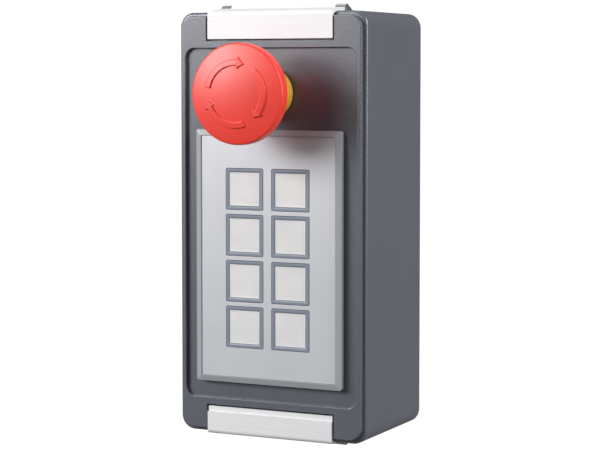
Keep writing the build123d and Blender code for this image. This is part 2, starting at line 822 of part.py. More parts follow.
with BuildPart() as board_screws:
    with BuildSketch(front(board_rear, panel_z)):
        with GridLocations(2 * post_x, 2 * post_z, 2, 2):
            Circle(board_screw_head_radius)
    extrude(amount=-board_screw_head)
    with BuildSketch(front(board_rear, panel_z)):
        with GridLocations(2 * post_x, 2 * post_z, 2, 2):
            Circle(board_screw_radius)
    extrude(amount=board_screw_length)
save(board_screws, "board_screws")

with BuildPart() as key_switches:
    with BuildSketch(front(board_front, panel_z)):
        with Locations(*key_places):
            Rectangle(switch_size, switch_size)
    extrude(amount=switch_height)
save(key_switches, "key_switches")

with BuildPart() as key_domes:
    with BuildSketch(front(switch_front, panel_z)):
        with Locations(*key_places):
            Circle(dome_radius)
    extrude(amount=stem_end - switch_front, taper=dome_taper)
save(key_domes, "key_domes")

with BuildPart() as key_lamps:
    with BuildSketch(front(board_front, panel_z)):
        with Locations(*key_places):
            with GridLocations(2 * key_light_offset, 0, 2, 1):
                Rectangle(led_width, led_length)
    extrude(amount=led_height)
save(key_lamps, "key_lamps")

for number, (x, z) in enumerate(key_places, start=1):
    with BuildPart() as key_frame:
        with BuildSketch(front(key_flange_front, panel_z)):
            with Locations((x, z)):
                RectangleRounded(key_size, key_size, key_corner_radius)
        extrude(amount=key_front - key_flange_front)
        with BuildSketch(front(key_flange_rear, panel_z)):
            with Locations((x, z)):
                Rectangle(key_size + 2 * key_flange, key_size + 2 * key_flange)
        extrude(amount=key_flange_thickness)
        with BuildSketch(front(window_rear, panel_z)):
            with Locations((x, z)):
                Rectangle(window_size, window_size)
        extrude(amount=key_front - window_rear, mode=Mode.SUBTRACT)
        with BuildSketch(front(key_flange_rear, panel_z)):
            with Locations((x, z)):
                with GridLocations(2 * key_light_offset, 0, 2, 1):
                    Circle(key_light_radius)
        extrude(amount=window_rear - key_flange_rear, mode=Mode.SUBTRACT)
        with BuildSketch(front(stem_end, panel_z)):
            with Locations((x, z)):
                Circle(key_stem_radius)
        extrude(amount=key_flange_rear - stem_end)
    save(key_frame, f"key_frame_{number}")

    with BuildPart() as key_window:
        with BuildSketch(front(window_rear, panel_z)):
            with Locations((x, z)):
                Rectangle(window_size - 2 * window_gap, window_size - 2 * window_gap)
        extrude(amount=window_thickness)
    save(key_window, f"key_window_{number}")

with BuildPart() as main_board:
    with BuildSketch(front(main_board_rear, panel_z + main_board_z)):
        Rectangle(main_board_width, main_board_height)
    extrude(amount=board_thickness)
    # spacers up to the key board
    with BuildSketch(front(main_board_front, panel_z + main_board_z)):
        with GridLocations(2 * spacer_x, 2 * spacer_z, 2, 2):
            Circle(post_radius)
    extrude(amount=board_rear - main_board_front)
save(main_board, "main_board")

with BuildPart() as network_sockets:
    with BuildSketch(front(connector_rear, panel_z)):
        with Locations(*socket_places):
            Rectangle(socket_width, socket_height)
    extrude(amount=connector_front - connector_rear)
    with BuildSketch(front(connector_rear, panel_z)):
        with Locations(*socket_places):
            Rectangle(socket_port_width, socket_port_height)
    extrude(amount=socket_port_depth, mode=Mode.SUBTRACT)
save(network_sockets, "network_sockets")

with BuildPart() as terminal_blocks:
    with BuildSketch(front(connector_rear, panel_z)):
        with Locations(*terminal_places):
            Rectangle(terminal_width, terminal_height)
    extrude(amount=connector_front - connector_rear)
    with BuildSketch(front(connector_rear, panel_z)):
        with Locations(*terminal_places):
            with GridLocations(terminal_pitch, 0, terminal_ways, 1):
                Circle(terminal_wire_radius)
    extrude(amount=terminal_wire_depth, mode=Mode.SUBTRACT)
save(terminal_blocks, "terminal_blocks")

with BuildPart() as panel_clamps:
    with BuildSketch(front(clamp_rear, panel_z)):
        with GridLocations(2 * clamp_x, clamp_pitch, 2, clamp_rows):
            Rectangle(clamp_reach, clamp_width)
            Circle(clamp_screw_radius + screw_play, mode=Mode.SUBTRACT)
    extrude(amount=clamp_height)
save(panel_clamps, "panel_clamps")

with BuildPart() as clamp_screws:
    with BuildSketch(front(clamp_rear, panel_z)):
        with GridLocations(2 * clamp_x, clamp_pitch, 2, clamp_rows):
            Circle(clamp_screw_head_radius)
    extrude(amount=-clamp_screw_head)
    with BuildSketch(front(clamp_rear, panel_z)):
        with GridLocations(2 * clamp_x, clamp_pitch, 2, clamp_rows):
            Circle(clamp_screw_radius)
    extrude(amount=lid_inside - clamp_rear)
save(clamp_screws, "clamp_screws")

# ================================================================ mushroom stop button
with BuildPart() as stop_seal:
    with BuildSketch(front(recess_floor, stop_z)):
        Circle(stop_collar_radius - stop_seal_inset)
        Circle(stop_hole_radius + stop_seal_inset, mode=Mode.SUBTRACT)
    extrude(amount=stop_seal_thickness)
save(stop_seal, "stop_seal")

with BuildPart() as stop_collar:
    with BuildSketch(front(collar_rear, stop_z)):
        Circle(stop_collar_radius)
    extrude(amount=collar_front - collar_rear)
    with BuildSketch(front(collar_floor, stop_z)):
        Circle(stop_collar_bore)
    extrude(amount=collar_front - collar_floor, mode=Mode.SUBTRACT)
    with BuildSketch(front(collar_rear, stop_z)):
        Circle(stop_hole_radius)
    extrude(amount=collar_floor - collar_rear, mode=Mode.SUBTRACT)
    collar_rim = stop_collar.faces().sort_by(Axis.Y)[0].outer_wire().edges()
    fillet(collar_rim, stop_collar_round)
save(stop_collar, "stop_collar")

with BuildPart() as stop_barrel:
    with BuildSketch(front(holder_rear, stop_z)):
        Circle(barrel_radius)
    extrude(amount=collar_floor - holder_rear)
    with BuildSketch(front(collar_floor, stop_z)):
        Circle(stop_collar_bore - stop_barrel_gap)
    extrude(amount=stop_barrel_flange)
    with BuildSketch(front(holder_rear, stop_z)):
        Circle(stem_bore)
    extrude(amount=barrel_flange_front - holder_rear, mode=Mode.SUBTRACT)
save(stop_barrel, "stop_barrel")

with BuildPart() as stop_holder:
    with BuildSketch(front(holder_rear, stop_z)):
        RectangleRounded(holder_width, holder_height, holder_corner_radius)
        Circle(stop_hole_radius, mode=Mode.SUBTRACT)
        with Locations((0, holder_screw_z)):
            Circle(holder_screw_radius + screw_play, mode=Mode.SUBTRACT)
    extrude(amount=holder_depth)
    with BuildSketch(front(holder_rear, stop_z)):
        with Locations((0, holder_screw_z)):
            Circle(holder_screw_head_radius + screw_play)
    extrude(amount=holder_screw_head, mode=Mode.SUBTRACT)
save(stop_holder, "stop_holder")

with BuildPart() as holder_screw:
    with BuildSketch(front(lid_inside - holder_screw_end_gap, stop_z)):
        with Locations((0, holder_screw_z)):
            Circle(holder_screw_radius)
    extrude(amount=holder_screw_end_gap - holder_depth)
    with BuildSketch(front(holder_rear, stop_z)):
        with Locations((0, holder_screw_z)):
            Circle(holder_screw_head_radius)
    extrude(amount=holder_screw_head)
save(holder_screw, "holder_screw")

stem_rear = holder_rear + stop_travel + slider_gap
head_seat = mushroom_back - spigot_length
with BuildPart() as stop_plunger:
    with BuildSketch(front(stem_rear, stop_z)):
        Circle(stop_stem_radius)
    extrude(amount=head_seat - stem_rear)
    with BuildSketch(front(head_seat, stop_z)):
        Circle(spigot_radius)
    extrude(amount=spigot_length)
save(stop_plunger, "stop_plunger")

# the head is turned in one piece with its neck; heights run towards -Y
with BuildPart() as stop_head:
    with BuildSketch(Plane.XY.offset(stop_z)):
        with BuildLine():
            crown_radius = mushroom_radius - mushroom_round
            crown = ThreePointArc(
                (0, -mushroom_front),
                (crown_radius / 2, -(mushroom_front - mushroom_dome / 4)),
                (crown_radius, -(mushroom_front - mushroom_dome)),
            )
            RadiusArc(crown @ 1, (mushroom_radius, -mushroom_edge), mushroom_round)
            Polyline(
                (mushroom_radius, -mushroom_edge),
                (mushroom_radius, -mushroom_back),
                (mushroom_radius - mushroom_lip, -mushroom_back),
                (mushroom_radius - mushroom_lip, -(mushroom_back + mushroom_hollow)),
                (neck_radius + mushroom_hollow, -(mushroom_back + mushroom_hollow)),
                (neck_radius, -mushroom_back),
                (neck_radius, -neck_rear),
                (neck_radius - neck_wall, -neck_rear),
                (neck_radius - neck_wall, -(head_seat + stop_slide_gap)),
                (spigot_radius + stop_slide_gap, -(head_seat + stop_slide_gap)),
                (spigot_radius + stop_slide_gap, -(mushroom_back + stop_slide_gap)),
                (0, -(mushroom_back + stop_slide_gap)),
                (0, -mushroom_front),
            )
        make_face()
    revolve(axis=stop_axis)
save(stop_head, "stop_head")

# the return spring between the barrel's flange and the inside of the head
spring_radius = (stop_stem_radius + neck_radius - neck_wall) / 2
spring_start = barrel_flange_front + spring_end_gap
spring_height = head_seat + stop_slide_gap - spring_end_gap - spring_start
with BuildPart() as stop_spring:
    with BuildLine():
        coil = Helix(
            spring_height / spring_turns,
            spring_height,
            spring_radius,
            center=(0, -spring_start, stop_z),
            direction=(0, -1, 0),
        )
    with BuildSketch(Plane(origin=coil @ 0, z_dir=coil % 0)):
        Circle(spring_wire_radius)
    sweep(is_frenet=True)
save(stop_spring, "stop_spring")

# ================================================================ contact modules
for side, x in (("left", -contact_x), ("right", contact_x)):
    with BuildPart() as contact_housing:
        with BuildSketch(front(contact_rear, stop_z)):
            with Locations((x, 0)):
                Rectangle(contact_width, contact_height)
        extrude(amount=contact_depth)
        with BuildSketch(front(contact_rear + contact_wall, stop_z)):
            with Locations((x, 0)):
                Rectangle(contact_width - 2 * contact_wall, contact_height - 2 * contact_wall)
        extrude(amount=contact_depth - 2 * contact_wall, mode=Mode.SUBTRACT)
        with BuildSketch(front(contact_front, stop_z)):
            with Locations((x, 0)):
                Rectangle(slider_width + 2 * slider_gap, slider_height + 2 * slider_gap)
        extrude(amount=-contact_wall, mode=Mode.SUBTRACT)
        # terminal screws are reached from behind
        with BuildSketch(front(contact_rear, stop_z)):
            with Locations((x, 0)):
                with GridLocations(0, 2 * terminal_screw_z, 1, 2):
                    Circle(terminal_head_radius + screw_play)
        extrude(amount=contact_wall, mode=Mode.SUBTRACT)
    save(contact_housing, f"contact_housing_{side}")

slider_front = stem_rear - contact_gap
slider_rear = slider_front - slider_length
with BuildPart() as contact_sliders:
    with BuildSketch(front(slider_rear, stop_z)):
        with GridLocations(2 * contact_x, 0, 2, 1):
            Rectangle(slider_width, slider_height)
    extrude(amount=slider_length)
    with BuildSketch(front(bridge_front, stop_z)):
        with GridLocations(2 * contact_x, 0, 2, 1):
            Rectangle(bridge_width, slider_height)
    extrude(amount=-bridge_thickness, mode=Mode.SUBTRACT)
save(contact_sliders, "contact_sliders")

with BuildPart() as contact_bridges:
    with BuildSketch(front(bridge_front, stop_z)):
        with GridLocations(2 * contact_x, 0, 2, 1):
            Rectangle(bridge_width, bridge_length)
    extrude(amount=-bridge_thickness)
save(contact_bridges, "contact_bridges")

fixed_contact_rear = bridge_front + contact_gap
with BuildPart() as fixed_contacts:
    with BuildSketch(front(fixed_contact_rear, stop_z)):
        with GridLocations(2 * contact_x, 2 * (terminal_screw_z - fixed_contact_shift), 2, 2):
            Rectangle(contact_width - 2 * contact_wall, fixed_contact_length)
        with GridLocations(2 * contact_x, 2 * terminal_screw_z, 2, 2):
            Circle(terminal_screw_radius + screw_play, mode=Mode.SUBTRACT)
    extrude(amount=fixed_contact_thickness)
save(fixed_contacts, "fixed_contacts")

with BuildPart() as terminal_screws:
    with BuildSketch(front(contact_rear + contact_wall, stop_z)):
        with GridLocations(2 * contact_x, 2 * terminal_screw_z, 2, 2):
            Circle(terminal_head_radius)
    extrude(amount=terminal_head)
    with BuildSketch(front(contact_rear + contact_wall, stop_z)):
        with GridLocations(2 * contact_x, 2 * terminal_screw_z, 2, 2):
            Circle(terminal_screw_radius)
    extrude(amount=fixed_contact_rear + fixed_contact_thickness - contact_rear - contact_wall)
save(terminal_screws, "terminal_screws")

contact_spring_start = contact_rear + contact_wall + contact_spring_end_gap
contact_spring_height = slider_rear - contact_spring_end_gap - contact_spring_start
with BuildPart() as contact_springs:
    for side in (-1, 1):
        with BuildLine():
            contact_coil = Helix(
                contact_spring_height / contact_spring_turns,
                contact_spring_height,
                contact_spring_radius,
                center=(side * contact_x, -contact_spring_start, stop_z),
                direction=(0, -1, 0),
            )
        with BuildSketch(Plane(origin=contact_coil @ 0, z_dir=contact_coil % 0)):
            Circle(contact_spring_wire)
        sweep(path=contact_coil, is_frenet=True)
save(contact_springs, "contact_springs")
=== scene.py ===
import json
import math

import bmesh
import bpy
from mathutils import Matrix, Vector


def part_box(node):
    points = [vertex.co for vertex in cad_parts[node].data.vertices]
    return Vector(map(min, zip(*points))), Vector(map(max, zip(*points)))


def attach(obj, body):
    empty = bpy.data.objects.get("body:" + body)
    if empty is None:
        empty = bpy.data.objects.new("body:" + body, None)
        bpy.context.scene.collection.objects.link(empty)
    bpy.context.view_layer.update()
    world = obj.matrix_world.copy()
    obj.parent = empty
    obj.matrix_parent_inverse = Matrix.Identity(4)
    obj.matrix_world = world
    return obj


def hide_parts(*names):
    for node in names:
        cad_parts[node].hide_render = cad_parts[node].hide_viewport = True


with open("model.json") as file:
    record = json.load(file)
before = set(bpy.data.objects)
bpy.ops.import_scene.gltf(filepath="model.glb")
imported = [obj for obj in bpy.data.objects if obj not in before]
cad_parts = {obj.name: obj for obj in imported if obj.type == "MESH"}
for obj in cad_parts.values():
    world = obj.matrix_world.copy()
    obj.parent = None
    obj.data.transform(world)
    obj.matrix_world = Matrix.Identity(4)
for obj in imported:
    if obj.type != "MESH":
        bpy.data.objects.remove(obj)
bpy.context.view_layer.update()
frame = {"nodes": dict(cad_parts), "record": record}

MM = 0.001
FRONT, REAR = -1, 1          # the object faces -Y

# sizes in millimetres that the pieces below share
CROWN_DROP = 3.1             # how far the mushroom's crown falls from its centre to its edge
CROWN_ROUND = 1.5            # round between the crown and the mushroom's side
HEAD_DEPTH = 10.5            # crown to the back of the mushroom's rim
NECK_RADIUS = 12.2
ARROW_INNER, ARROW_OUTER = 16.5, 20.2
KEY_FLANGE = 1.2             # the flange behind a key, on each side of it
KEY_PLAY = 0.3               # gap between a key and the opening that it sits in

nodes = frame["nodes"]
bodies_of = {
    node: body
    for body, members in frame["record"]["behaviour"]["bodies"].items()
    for node in members
}
slot_of = {part["node"]: part["material_slot"] for part in frame["record"]["subparts"]}


# ---------------------------------------------------------------- material helpers
def new_material(name, colour, roughness, metallic=0.0):
    """A Principled shader with its tree, and the Object coordinates that its patterns follow."""
    material = bpy.data.materials.new(name)
    material.use_nodes = True
    tree = material.node_tree
    shader = tree.nodes["Principled BSDF"]
    shader.inputs["Base Color"].default_value = (*colour, 1)
    shader.inputs["Roughness"].default_value = roughness
    shader.inputs["Metallic"].default_value = metallic
    place = tree.nodes.new("ShaderNodeTexCoord").outputs["Object"]
    return material, tree, shader, place


def stretched(tree, place, stretch):
    mapping = tree.nodes.new("ShaderNodeMapping")
    mapping.inputs["Scale"].default_value = stretch
    tree.links.new(place, mapping.inputs["Vector"])
    return mapping.outputs["Vector"]


def noise(tree, place, scale, detail=2.0, stretch=(1, 1, 1)):
    texture = tree.nodes.new("ShaderNodeTexNoise")
    texture.inputs["Scale"].default_value = scale
    texture.inputs["Detail"].default_value = detail
    tree.links.new(stretched(tree, place, stretch), texture.inputs["Vector"])
    return texture.outputs["Fac"]


def cells(tree, place, scale):
    texture = tree.nodes.new("ShaderNodeTexVoronoi")
    texture.feature = "SMOOTH_F1"
    texture.inputs["Scale"].default_value = scale
    tree.links.new(place, texture.inputs["Vector"])
    return texture.outputs["Distance"]


def shades(tree, factor, dark, light, low=0.3, high=0.7):
    ramp = tree.nodes.new("ShaderNodeValToRGB")
    ramp.color_ramp.elements[0].position = low
    ramp.color_ramp.elements[1].position = high
    ramp.color_ramp.elements[0].color = (*dark, 1)
    ramp.color_ramp.elements[1].color = (*light, 1)
    tree.links.new(factor, ramp.inputs["Fac"])
    return ramp.outputs["Color"]


def spread(tree, factor, low, high):
    ramp = tree.nodes.new("ShaderNodeMapRange")
    ramp.inputs["To Min"].default_value = low
    ramp.inputs["To Max"].default_value = high
    tree.links.new(factor, ramp.inputs["Value"])
    return ramp.outputs["Result"]


def added(tree, first, second, share):
    """first plus share times second."""
    total = tree.nodes.new("ShaderNodeMath")
    total.operation = "MULTIPLY_ADD"
    total.inputs[1].default_value = share
    tree.links.new(second, total.inputs[0])
    tree.links.new(first, total.inputs[2])
    return total.outputs["Value"]


def roughen(tree, shader, height, distance, strength=1.0):
    bump = tree.nodes.new("ShaderNodeBump")
    bump.inputs["Distance"].default_value = distance
    bump.inputs["Strength"].default_value = strength
    tree.links.new(height, bump.inputs["Height"])
    tree.links.new(bump.outputs["Normal"], shader.inputs["Normal"])


def scaled(colour, factor):
    return tuple(min(1.0, c * factor) for c in colour)


def tinted(tree, shader, factor, colour, variation):
    tint = shades(tree, factor, scaled(colour, 1 - variation), scaled(colour, 1 + variation))
    tree.links.new(tint, shader.inputs["Base Color"])


def uneven_gloss(tree, shader, factor, roughness, share=0.12):
    rough = spread(tree, factor, roughness * (1 - share), roughness * (1 + share))
    tree.links.new(rough, shader.inputs["Roughness"])


# ---------------------------------------------------------------- materials
def powder_coat():
    """Grey-blue coat on the cast shells: a fine orange peel, with a faint speckle."""
    colour = (0.092, 0.1, 0.122)
    material, tree, shader, place = new_material("body_powder_coat", colour, 0.31)
    speckle = noise(tree, place, 2600.0, 2.0)
    drift = noise(tree, place, 22.0, 3.0)
    tinted(tree, shader, added(tree, drift, speckle, 0.5), colour, 0.1)
    uneven_gloss(tree, shader, noise(tree, place, 60.0, 3.0), 0.31)
    peel = added(tree, cells(tree, place, 900.0), speckle, 0.5)
    roughen(tree, shader, peel, 0.00004)
    shader.inputs["Specular IOR Level"].default_value = 0.9
    return material


def cover_lacquer():
    """Light silver lacquer on rolled aluminium, with faint lines along the length."""
    colour = (0.8, 0.8, 0.815)
    material, tree, shader, place = new_material("cover_lacquer", colour, 0.5, 0.1)
    lines = noise(tree, place, 900.0, 2.0, (0.03, 1, 1))
    tinted(tree, shader, lines, colour, 0.025)
    uneven_gloss(tree, shader, noise(tree, place, 120.0, 3.0), 0.5)
    roughen(tree, shader, lines, 0.00001)
    return material


def drawn_metal(name, colour, roughness, stretch=(0.04, 1, 1)):
    """Rolled or drawn metal: fine lines along the direction in which stretch is small."""
    material, tree, shader, place = new_material(name, colour, roughness, 1.0)
    lines = noise(tree, place, 1400.0, 3.0, stretch)
    stains = noise(tree, place, 70.0, 3.0)
    tinted(tree, shader, added(tree, lines, stains, 0.4), colour, 0.1)
    uneven_gloss(tree, shader, lines, roughness, 0.25)
    roughen(tree, shader, lines, 0.00002)
    return material


def moulded(name, colour, roughness, grain=1200.0, depth=0.00002, variation=0.04):
    """Moulded plastic: a fine spark-eroded grain and a faint drift of colour and gloss."""
    material, tree, shader, place = new_material(name, colour, roughness)
    texture = noise(tree, place, grain, 3.0)
    drift = noise(tree, place, 30.0, 3.0)
    tinted(tree, shader, added(tree, drift, texture, 0.25), colour, variation)
    uneven_gloss(tree, shader, noise(tree, place, grain / 5, 2.0), roughness)
    roughen(tree, shader, texture, depth)
    return material


def mushroom_plastic():
    """Signal red, semi-gloss, with the soft depth of a coloured thermoplastic."""
    colour = (0.87, 0.05, 0.033)
    material, tree, shader, place = new_material("mushroom_red", colour, 0.4)
    flow = noise(tree, place, 45.0, 4.0, (1, 0.4, 1))
    tinted(tree, shader, flow, colour, 0.05)
    uneven_gloss(tree, shader, noise(tree, place, 350.0, 2.0), 0.4)
    roughen(tree, shader, noise(tree, place, 1500.0, 3.0), 0.000012)
    shader.inputs["Coat Weight"].default_value = 0.15
    shader.inputs["Coat Roughness"].default_value = 0.25
    return material


def collar_plastic():
    return moulded("collar_yellow", (0.88, 0.5, 0.045), 0.3, 1100.0, 0.00001)


def front_foil():
    """Silver printed film: metal flake under a satin surface."""
    colour = (0.6, 0.61, 0.64)
    material, tree, shader, place = new_material("front_foil", colour, 0.36, 0.25)
    flake = cells(tree, place, 3800.0)
    brush = noise(tree, place, 30.0, 2.0)
    tinted(tree, shader, added(tree, brush, flake, 0.4), colour, 0.04)
    uneven_gloss(tree, shader, flake, 0.36)
    roughen(tree, shader, flake, 0.00001)
    return material


def window_film():
    """Milky window over a label strip: light spreads inside it, a little uneven."""
    colour = (0.75, 0.75, 0.745)
    material, tree, shader, place = new_material("key_window", colour, 0.32)
    cloud = noise(tree, place, 60.0, 2.0)
    tint = shades(tree, cloud, (0.72, 0.72, 0.73), (0.79, 0.78, 0.765))
    tree.links.new(tint, shader.inputs["Base Color"])
    roughen(tree, shader, noise(tree, place, 2200.0, 2.0), 0.000008)
    shader.inputs["Subsurface Weight"].default_value = 0.15
    shader.inputs["Subsurface Radius"].default_value = (0.002, 0.002, 0.002)
    shader.inputs["Subsurface Scale"].default_value = 1.0
    return material


def seal_rubber():
    colour = (0.022, 0.022, 0.024)
    material, tree, shader, place = new_material("seal_rubber", colour, 0.7)
    bloom = noise(tree, place, 160.0, 4.0)
    tinted(tree, shader, bloom, colour, 0.3)
    uneven_gloss(tree, shader, bloom, 0.7)
    roughen(tree, shader, noise(tree, place, 1800.0, 3.0), 0.00003)
    return material


def solder_mask():
    """Green lacquer over copper: the tracks show as slightly lighter, raised lines."""
    colour = (0.012, 0.12, 0.05)
    material, tree, shader, place = new_material("solder_mask", colour, 0.3)
    tracks = tree.nodes.new("ShaderNodeTexBrick")
    tracks.inputs["Scale"].default_value = 180.0
    tracks.inputs["Mortar Size"].default_value = 0.06
    tracks.inputs["Color1"].default_value = (*colour, 1)
    tracks.inputs["Color2"].default_value = (*scaled(colour, 0.8), 1)
    tracks.inputs["Mortar"].default_value = (*scaled(colour, 1.9), 1)
    turned_place = tree.nodes.new("ShaderNodeMapping")
    turned_place.inputs["Rotation"].default_value = (math.radians(90), 0, 0)
    tree.links.new(place, turned_place.inputs["Vector"])
    tree.links.new(turned_place.outputs["Vector"], tracks.inputs["Vector"])
    tree.links.new(tracks.outputs["Color"], shader.inputs["Base Color"])
    uneven_gloss(tree, shader, noise(tree, place, 90.0), 0.3)
    roughen(tree, shader, tracks.outputs["Fac"], 0.00003)
    return material


def lamp_resin():
    material, tree, shader, place = new_material("lamp_resin", (0.85, 0.85, 0.6), 0.15)
    tinted(tree, shader, noise(tree, place, 500.0), (0.8, 0.8, 0.55), 0.15)
    shader.inputs["Transmission Weight"].default_value = 0.3
    return material


materials = {
    "body_grey": powder_coat(),
    "cover_silver": cover_lacquer(),
    "hinge_metal": drawn_metal("hinge_aluminium", (0.4, 0.41, 0.43), 0.36),
    "screw_steel": drawn_metal("zinc_plated_steel", (0.58, 0.59, 0.61), 0.28, (1, 0.1, 1)),
    "bezel_silver": moulded("bezel_plastic", (0.35, 0.362, 0.39), 0.38, 1500.0, 0.00001, 0.02),
    "foil_silver": front_foil(),
    "seal_rubber": seal_rubber(),
    "housing_black": moulded("black_plastic", (0.03, 0.031, 0.034), 0.42),
    "board_green": solder_mask(),
    "lamp_clear": lamp_resin(),
    "socket_metal": drawn_metal("tinned_shield", (0.66, 0.67, 0.69), 0.22, (1, 0.05, 1)),
    "terminal_green": moulded("terminal_plastic", (0.04, 0.26, 0.09), 0.42),
    "collar_yellow": collar_plastic(),
    "plunger_grey": moulded("plunger_plastic", (0.2, 0.21, 0.23), 0.45),
    "mushroom_red": mushroom_plastic(),
    "spring_steel": drawn_metal("spring_wire", (0.5, 0.51, 0.53), 0.22, (1, 1, 0.2)),
    "contact_brass": drawn_metal("contact_brass", (0.78, 0.56, 0.26), 0.25, (1, 1, 0.05)),
    "key_blue_grey": moulded("key_border", (0.22, 0.25, 0.305), 0.36, 1600.0, 0.00001),
    "key_white": window_film(),
}
for name, node in nodes.items():
    node.data.materials.clear()
    node.data.materials.append(materials[slot_of[name]])


# ---------------------------------------------------------------- modelling helpers
def edit(piece):
    """Edit mode on one piece alone, with nothing in it selected."""
    if bpy.context.mode != "OBJECT":
        bpy.ops.object.mode_set(mode="OBJECT")
    bpy.ops.object.select_all(action="DESELECT")
    piece.select_set(True)
    bpy.context.view_layer.objects.active = piece
    bpy.ops.object.mode_set(mode="EDIT")
    bpy.ops.mesh.select_mode(type="EDGE")
    bpy.ops.mesh.select_all(action="DESELECT")


def leave():
    bpy.ops.object.mode_set(mode="OBJECT")


def deselect():
    if bpy.context.mode != "OBJECT":
        bpy.ops.object.mode_set(mode="OBJECT")
    bpy.ops.object.select_all(action="DESELECT")


def apply(piece, modifier):
    deselect()
    piece.select_set(True)
    bpy.context.view_layer.objects.active = piece
    bpy.ops.object.modifier_apply(modifier=modifier.name)


def settle(piece, name, smooth=35):
    """Leaves the piece at the origin with its place in its mesh, whole, and facing outwards."""
    deselect()
    piece.name = name
    piece.data.name = name
    piece.select_set(True)
    bpy.context.view_layer.objects.active = piece
    bpy.ops.object.transform_apply(location=True, rotation=True, scale=True)
    edit(piece)
    bpy.ops.mesh.select_all(action="SELECT")
    bpy.ops.mesh.remove_doubles(threshold=0.000005)
    bpy.ops.mesh.normals_make_consistent(inside=False)
    leave()
    bpy.ops.object.shade_smooth_by_angle(angle=math.radians(smooth))
    weighted = piece.modifiers.new("flats stay flat", "WEIGHTED_NORMAL")
    weighted.keep_sharp = True
    weighted.weight = 100
    apply(piece, weighted)


def ease(piece, width, segments=2, angle=30):
    """Breaks the sharp edges with a small round."""
    bevel = piece.modifiers.new("eased", "BEVEL")
    bevel.width = width * MM
    bevel.segments = segments
    bevel.limit_method = "ANGLE"
    bevel.angle_limit = math.radians(angle)
    bevel.use_clamp_overlap = True
    bevel.miter_outer = "MITER_ARC"
    apply(piece, bevel)


def stand_for(piece, node):
    """The piece takes a CAD node's place, body and finish."""
    piece.data.materials.clear()
    piece.data.materials.append(materials[slot_of[node]])
    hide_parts(node)
    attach(piece, bodies_of[node])


def copied(piece, name):
    """A second piece of the same shape, with its own mesh, left selected for its move."""
    deselect()
    piece.select_set(True)
    bpy.context.view_layer.objects.active = piece
    bpy.ops.object.duplicate()
    twin = bpy.context.object
    twin.name = name
    twin.data.name = name
    return twin


def turned(centre, profile, steps=96, closed=False):
    """Turned about an axis along Y: a circle, extruded ring by ring through (radius, height)."""
    x, z = centre
    radius, height = profile[0]
    deselect()
    bpy.ops.mesh.primitive_circle_add(
        vertices=steps, radius=radius * MM, location=(x, -height * MM, z),
        rotation=(math.radians(90), 0, 0),
    )
    piece = bpy.context.object
    bpy.ops.object.mode_set(mode="EDIT")
    bpy.ops.mesh.select_mode(type="EDGE")
    bpy.ops.mesh.select_all(action="SELECT")
    for next_radius, next_height in profile[1:] + (profile[:1] if closed else []):
        bpy.ops.mesh.extrude_edges_move(
            TRANSFORM_OT_translate={"value": (0, (height - next_height) * MM, 0)}
        )
        factor = next_radius / radius
        bpy.ops.transform.resize(
            value=(factor, 1, factor), center_override=(x, -next_height * MM, z)
        )
        radius, height = next_radius, next_height
    if not closed:
        bpy.ops.mesh.select_all(action="DESELECT")
        bpy.ops.mesh.select_non_manifold()
        bpy.ops.mesh.fill_holes(sides=0)
    leave()
    return piece


def copy_of(node):
    """A CAD node's shape as one closed mesh of flat faces, ready for more work."""
    piece = bpy.data.objects.new(node + "_copy", nodes[node].data.copy())
    bpy.context.scene.collection.objects.link(piece)
    edit(piece)
    bpy.ops.mesh.select_all(action="SELECT")
    bpy.ops.mesh.remove_doubles(threshold=0.000002)
    bpy.ops.mesh.dissolve_limited(angle_limit=math.radians(0.5))
    bpy.ops.mesh.normals_make_consistent(inside=False)
    leave()
    return piece


def softened(node, width):
    """A machined or moulded part with its sharp edges eased."""
    piece = copy_of(node)
    ease(piece, width, angle=35)
    settle(piece, node + "_eased")
    stand_for(piece, node)


# ---------------------------------------------------------------- mushroom head
def crown_height(ring, front, radius):
    """How far forward the crown lies, ring millimetres from the button's axis."""
    return front - CROWN_DROP * (ring / (radius - CROWN_ROUND)) ** 2


def mushroom_profile(front, back, radius):
    """Crown, its round edge, side, lip and the hollow behind it, as (radius, height)."""
    crown_radius = radius - CROWN_ROUND
    profile = []
    for step in range(1, 25):
        ring = crown_radius * step / 24
        profile.append((ring, crown_height(ring, front, radius)))
    edge_height = front - CROWN_DROP
    for turn in (25, 45, 65, 90):
        angle = math.radians(turn)
        ring = crown_radius + CROWN_ROUND * math.sin(angle)
        profile.append((ring, edge_height - CROWN_ROUND * (1 - math.cos(angle))))
    profile.append((radius, back + 0.9))
    for turn in (30, 60, 90):
        angle = math.radians(turn)
        profile.append((radius - 0.6 * (1 - math.cos(angle)), back + 0.6 * (1 - math.sin(angle))))
    profile.append((radius - 1.9, back))
    profile.append((radius - 2.2, back + 0.4))
    profile.append((radius - 2.4, back + 3.2))
    return profile


